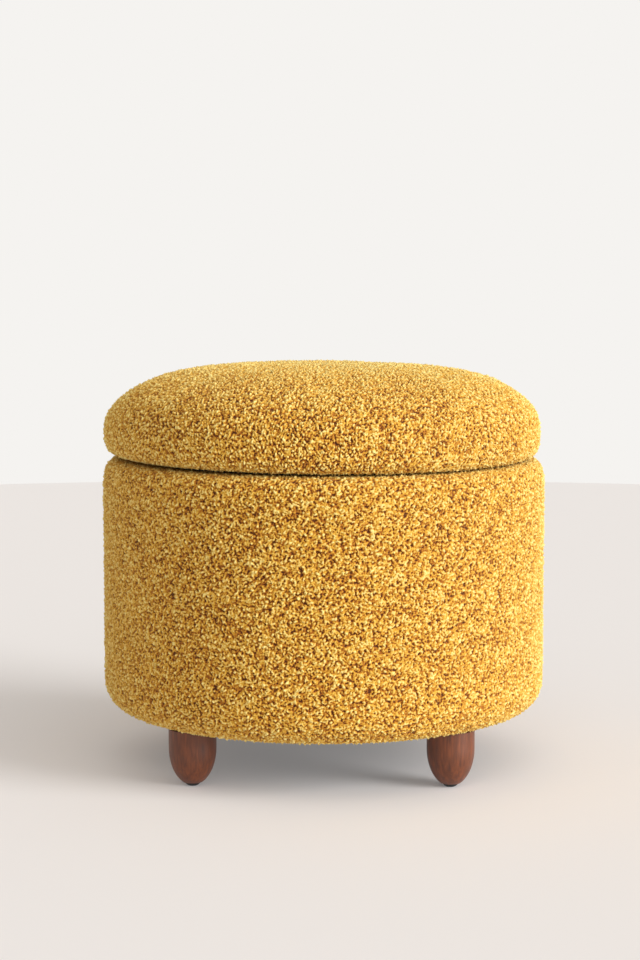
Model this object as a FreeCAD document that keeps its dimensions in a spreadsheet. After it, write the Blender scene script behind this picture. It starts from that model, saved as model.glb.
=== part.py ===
import FreeCAD, Part
import math
import os

import Sketcher

# A round storage ottoman: an upholstered drum on four turned legs, with a domed
# cushion lid that lifts straight off.
# +Z is up, sizes are millimetres, and the origin is the middle of the footprint on
# the floor. The front looks along -Y.

document = FreeCAD.newDocument("StorageOttoman")
sheet = document.addObject("Spreadsheet::Sheet", "Sizes")

DRIVING_SIZES = [
    # outside of the finished object, over the cloth
    ("body_diameter", 500),
    ("body_height", 284),
    ("lid_set_in", 3),
    ("lid_height", 102),
    ("leg_height", 63),
    # roundings of the upholstered outline
    ("rim_round", 25),
    ("base_round", 31),
    ("lid_edge_round", 25),
    ("lid_shoulder_round", 70),
    # cloth and padding
    ("cover_thickness", 3),
    ("padding_thickness", 12),
    ("rim_padding_thickness", 6),
    ("batting_thickness", 4),
    ("hem_width", 34),
    ("rim_turn_in", 24),
    ("soft_gap", 0.3),
    ("lid_rest_gap", 0.3),
    # drum carcass
    ("shell_thickness", 5),
    ("ring_width", 24),
    ("ring_thickness", 18),
    ("base_thickness", 15),
    ("base_chamfer", 12),
    ("board_gap", 0.2),
    ("post_width", 40),
    ("post_depth", 22),
    ("post_count", 8),
    # inside and underside linings
    ("lining_thickness", 2),
    ("lining_drop", 6),
    ("floor_thickness", 3),
    ("dust_thickness", 1),
    ("dust_overlap", 12),
    # lid boards
    ("lid_board_thickness", 12),
    ("lid_board_inset", 27),
    ("locator_thickness", 9),
    ("locator_clearance", 5),
    ("lid_lining_thickness", 1),
    ("lid_screw_inset", 44),
    ("lid_screw_count", 6),
    # legs, glides and their fixings
    ("leg_diameter", 52),
    ("leg_inset", 52),
    ("leg_bullet_height", 42),
    ("glide_diameter", 18),
    ("glide_flat_diameter", 10),
    ("glide_height", 4),
    ("nail_diameter", 2.6),
    ("nail_length", 14),
    ("bolt_diameter", 8),
    ("bolt_depth", 30),
    ("bolt_tip_gap", 1),
    ("nut_barrel_diameter", 10),
    ("nut_barrel_length", 11),
    ("nut_flange_diameter", 22),
    ("nut_flange_thickness", 1.5),
    ("fixing_gap", 0.1),
    # wood screws and staples
    ("screw_diameter", 4),
    ("screw_head_diameter", 8),
    ("screw_head_height", 2.5),
    ("frame_screw_length", 40),
    ("lid_screw_length", 20),
    ("staple_crown", 10),
    ("staple_reach", 8),
    ("staple_width", 1.2),
    ("staple_wire", 0.7),
    ("staple_spacing", 42),
    ("staple_inset", 5),
]

for row, (alias, number) in enumerate(DRIVING_SIZES, start=1):
    sheet.set(f"A{row}", alias)
    sheet.set(f"B{row}", str(number))
    sheet.setAlias(f"B{row}", alias)
document.recompute()


class Size:
    """A length that knows its value now and its expression in the sheet."""

    def __init__(self, value, text):
        self.value = value
        self.text = text

    def __add__(self, other):
        other = as_size(other)
        return Size(self.value + other.value, f"({self.text} + {other.text})")

    def __sub__(self, other):
        other = as_size(other)
        return Size(self.value - other.value, f"({self.text} - {other.text})")

    def __mul__(self, other):
        other = as_size(other)
        return Size(self.value * other.value, f"({self.text} * {other.text})")

    def __truediv__(self, other):
        other = as_size(other)
        return Size(self.value / other.value, f"({self.text} / {other.text})")

    def root(self):
        return Size(math.sqrt(self.value), f"sqrt({self.text})")


def as_size(number):
    return number if isinstance(number, Size) else Size(float(number), repr(float(number)))


def cell(alias):
    return Size(float(sheet.get(alias)), f"Sizes.{alias}")


def across_circle(radius, off_centre):
    """How far out a circle of this radius is, at this height above or below its centre."""
    return (radius * radius - off_centre * off_centre).root()


class Corner:
    """A corner of a profile. bend is the radius of the edge to the next corner, and
    turn is 1 where that edge runs anticlockwise and -1 where it runs clockwise."""

    def __init__(self, across, up, bend=None, turn=1):
        self.across = as_size(across)
        self.up = as_size(up)
        self.bend = bend
        self.turn = turn

    def point(self):
        return FreeCAD.Vector(self.across.value, self.up.value, 0)


def arc_between(start, finish, radius, turn):
    """The short arc of this radius from start to finish, which Part draws anticlockwise."""
    if turn < 0:
        start, finish = finish, start
    chord = finish - start
    rise = math.sqrt(max(radius**2 - (chord.Length / 2) ** 2, 0))
    side = FreeCAD.Vector(-chord.y, chord.x, 0).normalize()
    centre = (start + finish) * 0.5 + side * rise
    first = math.atan2(start.y - centre.y, start.x - centre.x)
    last = math.atan2(finish.y - centre.y, finish.x - centre.x)
    circle = Part.Circle(centre, FreeCAD.Vector(0, 0, 1), radius)
    return Part.ArcOfCircle(circle, first, last)


def draw_outline(sketch, corners):
    """Draws a closed outline and binds every corner and radius to the sheet."""
    count = len(corners)
    edges = []
    for index, corner in enumerate(corners):
        start = corner.point()
        finish = corners[(index + 1) % count].point()
        if corner.bend is None:
            edges.append(Part.LineSegment(start, finish))
        else:
            edges.append(arc_between(start, finish, corner.bend.value, corner.turn))
    sketch.addGeometry(edges, False)
    starts = [1 if corner.bend is None or corner.turn > 0 else 2 for corner in corners]
    for index in range(count):
        after = (index + 1) % count
        sketch.addConstraint(
            Sketcher.Constraint("Coincident", index, 3 - starts[index], after, starts[after])
        )
    for index, corner in enumerate(corners):
        if corner.across.value == 0:
            sketch.addConstraint(
                Sketcher.Constraint("PointOnObject", index, starts[index], -2)
            )
        else:
            bind_corner(sketch, "DistanceX", index, starts[index], corner.across)
        bind_corner(sketch, "DistanceY", index, starts[index], corner.up)
        if corner.bend is not None:
            number = sketch.addConstraint(
                Sketcher.Constraint("Radius", index, corner.bend.value)
            )
            sketch.setExpression(f"Constraints[{number}]", corner.bend.text)


def bind_corner(sketch, kind, index, end, size):
    number = sketch.addConstraint(Sketcher.Constraint(kind, -1, 1, index, end, size.value))
    sketch.setExpression(f"Constraints[{number}]", size.text)


def origin_plane(body, role):
    return next(item for item in body.Origin.OriginFeatures if item.Role == role)


def sketch_on(body, name, role, turned=0):
    """A sketch on one of the body's own planes, turned about +Z where it stands upright."""
    sketch = body.newObject("Sketcher::SketchObject", name)
    sketch.AttachmentSupport = [(origin_plane(body, role), "")]
    sketch.MapMode = "FlatFace"
    sketch.AttachmentOffset = FreeCAD.Placement(
        FreeCAD.Vector(0, 0, 0), FreeCAD.Rotation(FreeCAD.Vector(0, 1, 0), turned)
    )
    return sketch


def new_body(label):
    body = document.addObject("PartDesign::Body", label)
    body.Label = label
    return body


def turned_body(label, corners):
    """A piece with a round section about +Z, from half of its profile."""
    body = new_body(label)
    sketch = sketch_on(body, f"{label}_profile", "XZ_Plane")
    draw_outline(sketch, corners)
    turning = body.newObject("PartDesign::Revolution", f"{label}_turning")
    turning.Profile = sketch
    turning.ReferenceAxis = (sketch, ["V_Axis"])
    turning.Angle = 360
    body.Tip = turning
    sketch.Visibility = False
    return body


def drill_round(body, name, centre, corners, count, first_angle):
    """Cuts the same turned hole several times on a circle. Each corner's across is
    measured from the hole's own axis, which is parallel to +Z at this radius."""
    sketch = sketch_on(body, f"{body.Name}_{name}_section", "XZ_Plane", first_angle)
    moved = [Corner(centre + corner.across, corner.up) for corner in corners]
    draw_outline(sketch, moved)
    low = min(corner.up.value for corner in corners)
    high = max(corner.up.value for corner in corners)
    axis = Part.LineSegment(
        FreeCAD.Vector(centre.value, low, 0), FreeCAD.Vector(centre.value, high, 0)
    )
    line = sketch.addGeometry(axis, True)
    sketch.addConstraint(Sketcher.Constraint("Vertical", line))
    bind_corner(sketch, "DistanceX", line, 1, centre)
    bind_corner(sketch, "DistanceY", line, 1, as_size(low))
    bind_corner(sketch, "DistanceY", line, 2, as_size(high))
    document.recompute()
    before = body.Shape.Volume
    groove = body.newObject("PartDesign::Groove", f"{body.Name}_{name}")
    groove.Profile = sketch
    groove.ReferenceAxis = (sketch, ["Axis0"])
    groove.Angle = 360
    body.Tip = groove
    pattern = body.newObject("PartDesign::PolarPattern", f"{body.Name}_{name}_ring")
    pattern.Originals = [groove]
    pattern.Axis = (origin_plane(body, "Z_Axis"), [""])
    pattern.Angle = 360
    pattern.Occurrences = count
    body.Tip = pattern
    document.recompute()
    if body.Shape.Volume >= before - 1:
        raise RuntimeError(f"{name} cut nothing out of {body.Label}")


def place_on_circle(item, radius, angle):
    """Moves a piece out to a circle about +Z, its own sizes staying as they are."""
    item.setExpression("Placement.Base.x", f"{radius.text} * cos({angle})")
    item.setExpression("Placement.Base.y", f"{radius.text} * sin({angle})")


# ---------------------------------------------------------------- shared levels
cover = cell("cover_thickness")
gap = cell("soft_gap")
board_gap = cell("board_gap")
fixing_gap = cell("fixing_gap")

body_radius = cell("body_diameter") / 2
leg_top = cell("leg_height")
body_bottom = leg_top + cell("dust_thickness")
rim_top = body_bottom + cell("body_height")
base_bottom = body_bottom + cover
base_top = base_bottom + cell("base_thickness")

cover_inside = body_radius - cover
padding_outside = cover_inside - gap
padding_inside = padding_outside - cell("padding_thickness")
shell_outside = padding_inside - gap
shell_inside = shell_outside - cell("shell_thickness")
board_radius = shell_inside - board_gap
ring_inside = board_radius - cell("ring_width")
turn_in_outside = ring_inside - gap
mouth_radius = turn_in_outside - cover
lining_outside = mouth_radius - gap
lining_inside = lining_outside - cell("lining_thickness")

padding_top = rim_top - cover - gap
ring_top = padding_top - cell("rim_padding_thickness")
ring_bottom = ring_top - cell("ring_thickness")
shell_bottom = base_bottom + cell("base_chamfer") + gap
turn_in_bottom = rim_top - cell("rim_turn_in")
floor_top = base_top + cell("floor_thickness")
lining_top = ring_top - cell("lining_drop")

rim_centre = body_radius - cell("rim_round")
rim_level = rim_top - cell("rim_round")
base_centre = body_radius - cell("base_round")
base_level = body_bottom + cell("base_round")
hem_inside = base_centre - cell("hem_width")

lid_bottom = rim_top + cell("lid_rest_gap")
lid_top = rim_top + cell("lid_height")
lid_radius = body_radius - cell("lid_set_in")
lid_board_bottom = lid_bottom + cover
lid_board_top = lid_board_bottom + cell("lid_board_thickness")
lid_board_radius = lid_radius - cell("lid_board_inset")
lid_edge_centre = lid_radius - cell("lid_edge_round")
lid_level = lid_bottom + cell("lid_edge_round")
lid_hem_inside = lid_edge_centre - cell("hem_width")

leg_circle = body_radius - cell("leg_inset")
LEG_ANGLES = {"rear_right": 45, "rear_left": 135, "front_left": 225, "front_right": 315}
REAR_RIGHT = LEG_ANGLES["rear_right"]
post_count = int(cell("post_count").value)
POST_ANGLES = [(number + 0.5) * 360 / post_count for number in range(post_count)]
post_inside = ring_inside
post_screw_circle = post_inside + cell("screw_head_diameter")


# ---------------------------------------------------------------- drum carcass
def screw_hole(face, direction, depth):
    """Profile of a countersunk hole that opens on a face, direction 1 where it goes up."""
    shank = cell("screw_diameter") / 2 + fixing_gap
    head = cell("screw_head_diameter") / 2 + fixing_gap
    seat = face + cell("screw_head_height") * direction
    far = face + depth * direction
    return [
        Corner(0, face),
        Corner(head, face),
        Corner(shank, seat),
        Corner(shank, far),
        Corner(0, far),
    ]


def bolt_hole(low, high):
    """Profile of a plain hole that a leg bolt passes through."""
    radius = cell("bolt_diameter") / 2 + fixing_gap
    return [Corner(0, low), Corner(radius, low), Corner(radius, high), Corner(0, high)]


def make_base_board():
    chamfer = cell("base_chamfer")
    body = turned_body(
        "base_board",
        [
            Corner(0, base_bottom),
            Corner(board_radius - chamfer, base_bottom),
            Corner(board_radius, base_bottom + chamfer),
            Corner(board_radius, base_top),
            Corner(0, base_top),
        ],
    )
    barrel = cell("nut_barrel_diameter") / 2 + fixing_gap
    flange = cell("nut_flange_diameter") / 2 + fixing_gap
    flange_seat = base_top - cell("nut_flange_thickness")
    nut_hole = [
        Corner(0, base_bottom),
        Corner(barrel, base_bottom),
        Corner(barrel, flange_seat),
        Corner(flange, flange_seat),
        Corner(flange, base_top),
        Corner(0, base_top),
    ]
    drill_round(body, "nut_holes", leg_circle, nut_hole, 4, REAR_RIGHT)
    through = screw_hole(base_bottom, 1, cell("base_thickness"))
    drill_round(body, "screw_holes", post_screw_circle, through, post_count, POST_ANGLES[0])


def make_top_ring():
    body = turned_body(
        "top_ring",
        [
            Corner(ring_inside, ring_bottom),
            Corner(board_radius, ring_bottom),
            Corner(board_radius, ring_top),
            Corner(ring_inside, ring_top),
        ],
    )
    through = screw_hole(ring_top, -1, cell("ring_thickness"))
    drill_round(body, "screw_holes", post_screw_circle, through, post_count, POST_ANGLES[0])


def make_uprights():
    """Square posts that stand on the base board and carry the ring at the mouth."""
    for number, angle in enumerate(POST_ANGLES, start=1):
        body = new_body(f"upright_{number}")
        sketch = sketch_on(body, f"upright_{number}_section", "XY_Plane")
        half = cell("post_width") / 2
        outside = post_inside + cell("post_depth")
        draw_outline(
            sketch,
            [
                Corner(post_inside, as_size(0) - half),
                Corner(outside, as_size(0) - half),
                Corner(outside, half),
                Corner(post_inside, half),
            ],
        )
        post = body.newObject("PartDesign::Pad", f"upright_{number}_length")
        post.Profile = sketch
        post.setExpression("Length", (ring_bottom - base_top).text)
        body.Tip = post
        body.Placement.Rotation = FreeCAD.Rotation(FreeCAD.Vector(0, 0, 1), angle)
        body.setExpression("Placement.Base.z", base_top.text)


def make_drum_shell():
    turned_body(
        "drum_shell",
        [
            Corner(shell_inside, shell_bottom),
            Corner(shell_outside, shell_bottom),
            Corner(shell_outside, ring_top),
            Corner(shell_inside, ring_top),
        ],
    )


def make_drum_padding():
    """Foam round the shell, which tucks in under the shell's lower edge, and a foam ring
    over the board at the mouth. Together they give the drum its soft rims."""
    base_bend = cell("base_round") - cover - gap
    rim_bend = cell("rim_round") - cover - gap
    rim_joint = rim_centre + across_circle(rim_bend, ring_top - rim_level)
    chamfer_foot = board_radius - cell("base_chamfer")
    turned_body(
        "side_padding",
        [
            Corner(base_centre + gap, base_level - across_circle(base_bend, gap), base_bend),
            Corner(padding_outside, base_level),
            Corner(padding_outside, rim_level, rim_bend),
            Corner(rim_joint, ring_top),
            Corner(padding_inside, ring_top),
            Corner(padding_inside, shell_bottom - gap),
            Corner(board_radius + gap * 2, shell_bottom - gap),
            Corner(chamfer_foot + gap * 4, base_bottom + gap * 2),
        ],
    )
    turned_body(
        "rim_padding",
        [
            Corner(ring_inside, ring_top),
            Corner(rim_joint, ring_top, rim_bend),
            Corner(rim_centre, padding_top),
            Corner(ring_inside, padding_top),
        ],
    )


def make_body_cover():
    """The cloth skin of the drum, turned in at the mouth and hemmed under the base."""
    body = turned_body(
        "body_cover",
        [
            Corner(hem_inside, body_bottom),
            Corner(base_centre, body_bottom, cell("base_round")),
            Corner(body_radius, base_level),
            Corner(body_radius, rim_level, cell("rim_round")),
            Corner(rim_centre, rim_top),
            Corner(mouth_radius + cover, rim_top, cover),
            Corner(mouth_radius, rim_top - cover),
            Corner(mouth_radius, turn_in_bottom),
            Corner(turn_in_outside, turn_in_bottom),
            Corner(turn_in_outside, rim_top - cover),
            Corner(rim_centre, rim_top - cover, cell("rim_round") - cover, -1),
            Corner(cover_inside, rim_level),
            Corner(cover_inside, base_level, cell("base_round") - cover, -1),
            Corner(base_centre, base_bottom),
            Corner(hem_inside, base_bottom),
        ],
    )
    drill_round(body, "bolt_holes", leg_circle, bolt_hole(body_bottom, base_bottom), 4, REAR_RIGHT)


def make_linings():
    turned_body(
        "wall_lining",
        [
            Corner(lining_inside, floor_top),
            Corner(lining_outside, floor_top),
            Corner(lining_outside, lining_top),
            Corner(lining_inside, lining_top),
        ],
    )
    floor_radius = ring_inside - gap
    turned_body(
        "floor_panel",
        [
            Corner(0, base_top),
            Corner(floor_radius, base_top),
            Corner(floor_radius, floor_top),
            Corner(0, floor_top),
        ],
    )
    dust_radius = hem_inside + cell("dust_overlap")
    body = turned_body(
        "dust_cover",
        [
            Corner(0, leg_top),
            Corner(dust_radius, leg_top),
            Corner(dust_radius, body_bottom),
            Corner(0, body_bottom),
        ],
    )
    drill_round(body, "bolt_holes", leg_circle, bolt_hole(leg_top, body_bottom), 4, REAR_RIGHT)


# ---------------------------------------------------------------- lid
def lid_profile(inward):
    """The lid's outline at a distance inside its cloth: lower edge level and radius,
    shoulder and crown radii, and the corner where shoulder and crown meet."""
    shoulder = cell("lid_shoulder_round")
    rise = lid_top - lid_level
    centre = lid_radius - shoulder
    crown = (centre * centre + rise * rise - shoulder * shoulder) / ((rise - shoulder) * 2)
    share = crown / (crown - shoulder)
    meet_across = centre * share
    drop = crown - rise
    meet_up = lid_level - drop + drop * share
    toward_across = meet_across - centre
    toward_up = meet_up - lid_level
    scale = (shoulder - inward) / shoulder
    return {
        "edge": cell("lid_edge_round") - inward,
        "shoulder": shoulder - inward,
        "crown": crown - inward,
        "widest": lid_radius - inward,
        "top": lid_top - inward,
        "meet": (centre + toward_across * scale, lid_level + toward_up * scale),
    }


def make_lid_cover():
    outer = lid_profile(as_size(0))
    inner = lid_profile(cover)
    turned_body(
        "lid_cover",
        [
            Corner(lid_hem_inside, lid_bottom),
            Corner(lid_edge_centre, lid_bottom, outer["edge"]),
            Corner(outer["widest"], lid_level, outer["shoulder"]),
            Corner(*outer["meet"], outer["crown"]),
            Corner(0, outer["top"]),
            Corner(0, inner["top"], inner["crown"], -1),
            Corner(*inner["meet"], inner["shoulder"], -1),
            Corner(inner["widest"], lid_level, inner["edge"], -1),
            Corner(lid_edge_centre, lid_board_bottom),
            Corner(lid_hem_inside, lid_board_bottom),
        ],
    )


def make_lid_batting():
    """Fibre wrap over the foam. It also packs the edge beside and below the foam."""
    outer = lid_profile(cover + gap)
    inner = lid_profile(cover + gap + cell("batting_thickness"))
    low = lid_board_bottom + gap * 4
    under_foam = lid_board_top - gap
    beside_board = lid_board_radius + gap
    low_across = lid_edge_centre + across_circle(outer["edge"], lid_level - low)
    turn_across = lid_edge_centre + across_circle(inner["edge"], lid_level - under_foam)
    turned_body(
        "lid_batting",
        [
            Corner(beside_board, low),
            Corner(low_across, low, outer["edge"]),
            Corner(outer["widest"], lid_level, outer["shoulder"]),
            Corner(*outer["meet"], outer["crown"]),
            Corner(0, outer["top"]),
            Corner(0, inner["top"], inner["crown"], -1),
            Corner(*inner["meet"], inner["shoulder"], -1),
            Corner(inner["widest"], lid_level, inner["edge"], -1),
            Corner(turn_across, under_foam),
            Corner(beside_board, under_foam),
        ],
    )


def make_lid_foam():
    outer = lid_profile(cover + gap * 2 + cell("batting_thickness"))
    foot_across = lid_edge_centre + across_circle(outer["edge"], lid_level - lid_board_top)
    turned_body(
        "lid_foam",
        [
            Corner(0, lid_board_top),
            Corner(foot_across, lid_board_top, outer["edge"]),
            Corner(outer["widest"], lid_level, outer["shoulder"]),
            Corner(*outer["meet"], outer["crown"]),
            Corner(0, outer["top"]),
        ],
    )


def make_lid_board():
    turned_body(
        "lid_board",
        [
            Corner(0, lid_board_bottom),
            Corner(lid_board_radius, lid_board_bottom),
            Corner(lid_board_radius, lid_board_top),
            Corner(0, lid_board_top),
        ],
    )


lining_cup_radius = mouth_radius - cell("locator_clearance")
locator_radius = lining_cup_radius - cell("lid_lining_thickness") - gap
locator_bottom = lid_bottom - cell("locator_thickness")
lid_lining_bottom = locator_bottom - cell("lid_lining_thickness")
lid_screw_circle = locator_radius - cell("lid_screw_inset")


def make_lid_locator():
    """The disc that drops into the mouth and keeps the lid central, and its lining."""
    disc = turned_body(
        "lid_locating_disc",
        [
            Corner(0, locator_bottom),
            Corner(locator_radius, locator_bottom),
            Corner(locator_radius, lid_bottom),
            Corner(0, lid_bottom),
        ],
    )
    count = int(cell("lid_screw_count").value)
    through = screw_hole(locator_bottom, 1, cell("locator_thickness"))
    drill_round(disc, "screw_holes", lid_screw_circle, through, count, 0)
    lining = turned_body(
        "lid_lining",
        [
            Corner(0, lid_lining_bottom),
            Corner(lining_cup_radius, lid_lining_bottom),
            Corner(lining_cup_radius, lid_bottom - gap),
            Corner(locator_radius + gap, lid_bottom - gap),
            Corner(locator_radius + gap, locator_bottom),
            Corner(0, locator_bottom),
        ],
    )
    head = cell("screw_head_diameter") / 2 + fixing_gap
    head_hole = [
        Corner(0, lid_lining_bottom),
        Corner(head, lid_lining_bottom),
        Corner(head, locator_bottom),
        Corner(0, locator_bottom),
    ]
    drill_round(lining, "screw_holes", lid_screw_circle, head_hole, count, 0)


# ---------------------------------------------------------------- legs
def make_leg(side, angle):
    """An egg-ended turned leg: a straight neck that runs into half an ellipsoid."""
    radius = cell("leg_diameter") / 2
    bullet = cell("leg_bullet_height")
    egg = document.addObject("Part::Ellipsoid", f"leg_egg_{side}")
    egg.Angle1 = -90
    egg.Angle2 = 0
    egg.setExpression("Radius1", bullet.text)
    egg.setExpression("Radius2", radius.text)
    egg.setExpression("Radius3", radius.text)
    egg.setExpression("Placement.Base.z", bullet.text)
    neck = round_bar(f"leg_neck_{side}", radius, bullet, leg_top)
    turning = document.addObject("Part::MultiFuse", f"leg_turning_{side}")
    turning.Shapes = [egg, neck]
    turning.Refine = True
    foot = round_bar(f"leg_foot_cut_{side}", radius, as_size(0), cell("glide_height"))
    nail_top = cell("glide_height") + cell("nail_length") + fixing_gap
    nail_hole = round_bar(
        f"leg_nail_hole_{side}", cell("nail_diameter") / 2 + fixing_gap, as_size(0), nail_top
    )
    bore_bottom = leg_top - cell("bolt_depth") - fixing_gap
    bore = round_bar(
        f"leg_bore_{side}", cell("bolt_diameter") / 2 + fixing_gap, bore_bottom, leg_top
    )
    waste = document.addObject("Part::MultiFuse", f"leg_waste_{side}")
    waste.Shapes = [foot, nail_hole, bore]
    leg = document.addObject("Part::Cut", f"leg_{side}")
    leg.Base = turning
    leg.Tool = waste
    leg.Label = f"leg_{side}"
    place_on_circle(leg, leg_circle, angle)


def round_bar(name, radius, low, high):
    bar = document.addObject("Part::Cylinder", name)
    bar.setExpression("Radius", radius.text)
    bar.setExpression("Height", (high - low).text)
    bar.setExpression("Placement.Base.z", low.text)
    return bar


def make_glide(side, angle):
    """A nail-on glide: a low dome of plastic on a steel pin."""
    flat = cell("glide_flat_diameter") / 2
    wide = cell("glide_diameter") / 2
    top = cell("glide_height")
    pin = cell("nail_diameter") / 2
    body = turned_body(
        f"glide_{side}",
        [
            Corner(0, 0),
            Corner(flat, 0, cell("glide_height") * 2),
            Corner(wide, top),
            Corner(pin, top),
            Corner(pin, top + cell("nail_length")),
            Corner(0, top + cell("nail_length")),
        ],
    )
    place_on_circle(body, leg_circle, angle)


def make_leg_nut(side, angle):
    """A tee nut that is pressed into the base board from inside."""
    bore = cell("bolt_diameter") / 2 + fixing_gap
    barrel = cell("nut_barrel_diameter") / 2
    flange = cell("nut_flange_diameter") / 2
    seat = base_top - cell("nut_flange_thickness")
    body = turned_body(
        f"leg_nut_{side}",
        [
            Corner(bore, base_top - cell("nut_barrel_length")),
            Corner(barrel, base_top - cell("nut_barrel_length")),
            Corner(barrel, seat),
            Corner(flange, seat),
            Corner(flange, base_top),
            Corner(bore, base_top),
        ],
    )
    place_on_circle(body, leg_circle, angle)


def make_leg_bolt(side, angle):
    """A hanger bolt: wood thread in the leg, machine thread in the tee nut."""
    radius = cell("bolt_diameter") / 2
    bolt = round_bar(
        f"leg_bolt_{side}",
        radius,
        leg_top - cell("bolt_depth"),
        base_top - cell("bolt_tip_gap"),
    )
    bolt.Label = f"leg_bolt_{side}"
    place_on_circle(bolt, leg_circle, angle)


# ---------------------------------------------------------------- fasteners in groups
def group_of_solids(label, solids):
    item = document.addObject("Part::Feature", label)
    item.Label = label
    item.Shape = Part.makeCompound(solids)
    item.Placement = FreeCAD.Placement()


def turned_about_z(solid, angle):
    placed = solid.copy()
    placed.rotate(FreeCAD.Vector(0, 0, 0), FreeCAD.Vector(0, 0, 1), angle)
    return placed


def wood_screw(length):
    """A countersunk screw with its head's face at the origin and its tip up +Z."""
    head = cell("screw_head_diameter").value / 2
    shank = cell("screw_diameter").value / 2
    seat = cell("screw_head_height").value
    taper = length - 2 * shank
    outline = [(0, 0), (head, 0), (shank, seat), (shank, taper), (0, length)]
    points = [FreeCAD.Vector(across, 0, up) for across, up in outline]
    face = Part.Face(Part.makePolygon(points + points[:1]))
    return face.revolve(FreeCAD.Vector(0, 0, 0), FreeCAD.Vector(0, 0, 1), 360)


def screw_ring(label, length, circle, level, points_up, angles):
    screw = wood_screw(length.value)
    if not points_up:
        screw.rotate(FreeCAD.Vector(0, 0, 0), FreeCAD.Vector(1, 0, 0), 180)
    screw.translate(FreeCAD.Vector(circle.value, 0, level.value))
    group_of_solids(label, [turned_about_z(screw, angle) for angle in angles])


def staple():
    """A staple whose crown lies along Y with its outer face at the origin, legs up +Z."""
    half = cell("staple_crown").value / 2
    wire = cell("staple_wire").value
    reach = cell("staple_reach").value
    width = cell("staple_width").value
    outline = [
        (-half, 0),
        (half, 0),
        (half, reach),
        (half - wire, reach),
        (half - wire, wire),
        (wire - half, wire),
        (wire - half, reach),
        (-half, reach),
    ]
    points = [FreeCAD.Vector(-width / 2, along, up) for along, up in outline]
    face = Part.Face(Part.makePolygon(points + points[:1]))
    return face.extrude(FreeCAD.Vector(width, 0, 0))


def staple_angles(circle, clear_of_legs):
    """Even places round a circle, left out under the legs where clear_of_legs is set."""
    count = max(8, round(2 * math.pi * circle.value / cell("staple_spacing").value))
    reach = cell("leg_diameter").value / 2 + cell("staple_crown").value
    blocked = math.degrees(reach / circle.value)
    angles = [number * 360 / count for number in range(count)]
    if not clear_of_legs:
        return angles
    return [
        angle
        for angle in angles
        if all(abs(angle - leg_angle) > blocked for leg_angle in LEG_ANGLES.values())
    ]


def staple_ring(label, circle, level, clear_of_legs=False):
    shape = staple()
    shape.translate(FreeCAD.Vector(circle.value, 0, level.value))
    angles = staple_angles(circle, clear_of_legs)
    group_of_solids(label, [turned_about_z(shape, angle) for angle in angles])


def rim_staple_ring(label, radius, level):
    """Staples driven outwards, so that their crowns lie on the inside of the mouth."""
    shape = staple()
    shape.rotate(FreeCAD.Vector(0, 0, 0), FreeCAD.Vector(0, 1, 0), 90)
    half_crown = cell("staple_crown").value / 2
    out = math.sqrt(radius.value**2 + half_crown**2) - radius.value
    shape.translate(FreeCAD.Vector(radius.value + out, 0, level.value))
    angles = staple_angles(radius, False)
    group_of_solids(label, [turned_about_z(shape, angle) for angle in angles])


def make_fasteners():
    frame_screw = cell("frame_screw_length")
    screw_ring("base_screws", frame_screw, post_screw_circle, base_bottom, True, POST_ANGLES)
    screw_ring("ring_screws", frame_screw, post_screw_circle, ring_top, False, POST_ANGLES)
    count = int(cell("lid_screw_count").value)
    lid_angles = [number * 360 / count for number in range(count)]
    lid_screw = cell("lid_screw_length")
    screw_ring("lid_screws", lid_screw, lid_screw_circle, locator_bottom, True, lid_angles)
    inset = cell("staple_inset")
    hem_line = hem_inside + cell("dust_overlap") + inset
    staple_ring("hem_staples", hem_line, body_bottom, clear_of_legs=True)
    dust_line = hem_inside + cell("dust_overlap") - inset
    staple_ring("dust_cover_staples", dust_line, leg_top, clear_of_legs=True)
    staple_ring("lid_hem_staples", lid_hem_inside + inset, lid_bottom)
    rim_line = (ring_bottom + ring_top) / 2
    rim_staple_ring("rim_staples", mouth_radius, rim_line)


# ---------------------------------------------------------------- build and write
make_base_board()
make_top_ring()
make_uprights()
make_drum_shell()
make_drum_padding()
make_body_cover()
make_linings()
make_lid_cover()
make_lid_batting()
make_lid_foam()
make_lid_board()
make_lid_locator()
for side, angle in LEG_ANGLES.items():
    make_leg(side, angle)
    make_glide(side, angle)
    make_leg_nut(side, angle)
    make_leg_bolt(side, angle)
make_fasteners()

document.recompute()

faults = [item.Label for item in document.Objects if {"Invalid", "Error"} & set(item.State)]
if faults:
    raise RuntimeError(f"failed to build: {faults}")


def is_piece(item):
    """A finished piece is a body, or a solid that no other object is made from."""
    if item.TypeId == "PartDesign::Body":
        return True
    made_by_itself = ("Part::Cut", "Part::Cylinder", "Part::Feature")
    return item.TypeId in made_by_itself and not item.InList


os.makedirs("parts", exist_ok=True)
pieces = [item for item in document.Objects if is_piece(item)]
for item in pieces:
    shape = item.Shape
    if shape.isNull() or not shape.isValid() or not shape.Solids:
        raise RuntimeError(f"{item.Label} isn't a sound solid")
    shape.exportStep(os.path.join("parts", f"{item.Label}.step"))
    print(f"{item.Label}: {len(shape.Solids)} solid(s), {shape.Volume / 1000:.1f} cm3")
print(len(pieces), "pieces")
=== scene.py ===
import math

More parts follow.
